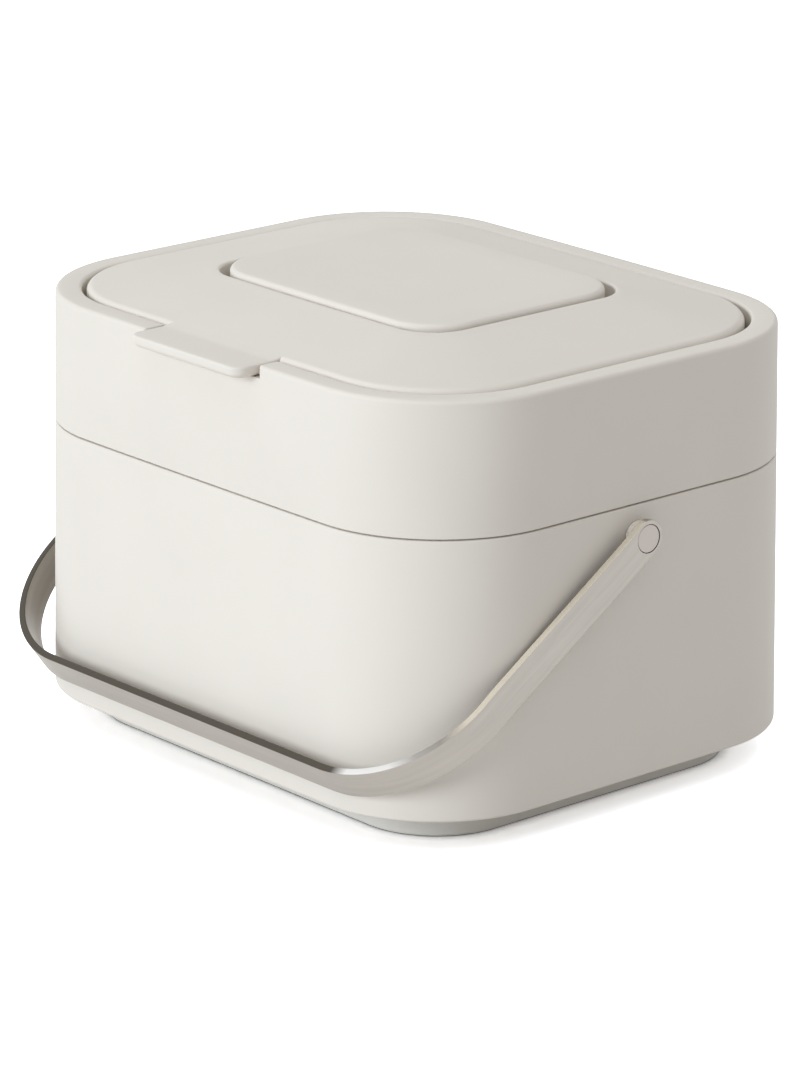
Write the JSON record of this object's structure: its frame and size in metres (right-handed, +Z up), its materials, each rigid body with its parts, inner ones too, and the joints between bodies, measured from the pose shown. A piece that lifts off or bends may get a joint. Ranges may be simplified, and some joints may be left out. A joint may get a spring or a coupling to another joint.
{
  "type": "food waste caddy",
  "caption": "Rounded kitchen caddy with a lift-off collar, hinged lid with a carbon filter under a small cover, and a stainless carrying strap.",
  "frame": {"origin": "on the floor under the middle of the caddy, on the underside of its base foot", "axes": "+X to the right along the long side, -Y to the front where the lid tab is, +Z up"},
  "size_m": [0.2474, 0.2066, 0.1699],
  "materials": {
    "bucket": "fine satin-moulded polypropylene",
    "collar": "fine satin-moulded polypropylene",
    "lid": "fine satin-moulded polypropylene",
    "cover": "fine satin-moulded polypropylene",
    "tray": "plain moulded polypropylene",
    "bush": "moulded acetal",
    "washer": "natural nylon",
    "foot": "soft thermoplastic elastomer",
    "filter": "felted activated carbon",
    "strap": "brushed stainless strip",
    "pin": "turned stainless, satin head",
    "clip": "spring steel",
    "hinge_pin": "drawn stainless wire"
  },
  "bodies": {
    "bucket": {"bucket_shell": "bucket", "base_foot": "foot", "handle_bush_left": "bush", "handle_bush_right": "bush", "handle_washer_left": "washer", "handle_washer_right": "washer", "pivot_pin_left": "pin", "pivot_pin_right": "pin", "pin_clip_left": "clip", "pin_clip_right": "clip"},
    "handle": {"handle_strap": "strap"},
    "collar": {"collar": "collar", "hinge_pin_left": "hinge_pin", "hinge_pin_right": "hinge_pin"},
    "lid": {"lid_panel": "lid", "filter_tray": "tray", "carbon_filter": "filter"},
    "filter_cover": {"filter_cover": "cover"}
  },
  "joints": [
    {"name": "handle_swing", "type": "hinge", "parent": "bucket", "child": "handle", "pos_m": [0, -0.0007, 0.1017], "axis": [-1, 0, 0], "range_deg": [0, 251]},
    {"name": "collar_lift", "type": "slide", "parent": "bucket", "child": "collar", "axis": [0, 0, 1], "range_m": [0, 0.08]},
    {"name": "lid_hinge", "type": "hinge", "parent": "collar", "child": "lid", "pos_m": [0, 0.07955, 0.159], "axis": [-1, 0, 0], "range_deg": [0, 92]},
    {"name": "cover_lift", "type": "slide", "parent": "lid", "child": "filter_cover", "axis": [0, 0, 1], "range_m": [0, 0.03]}
  ]
}
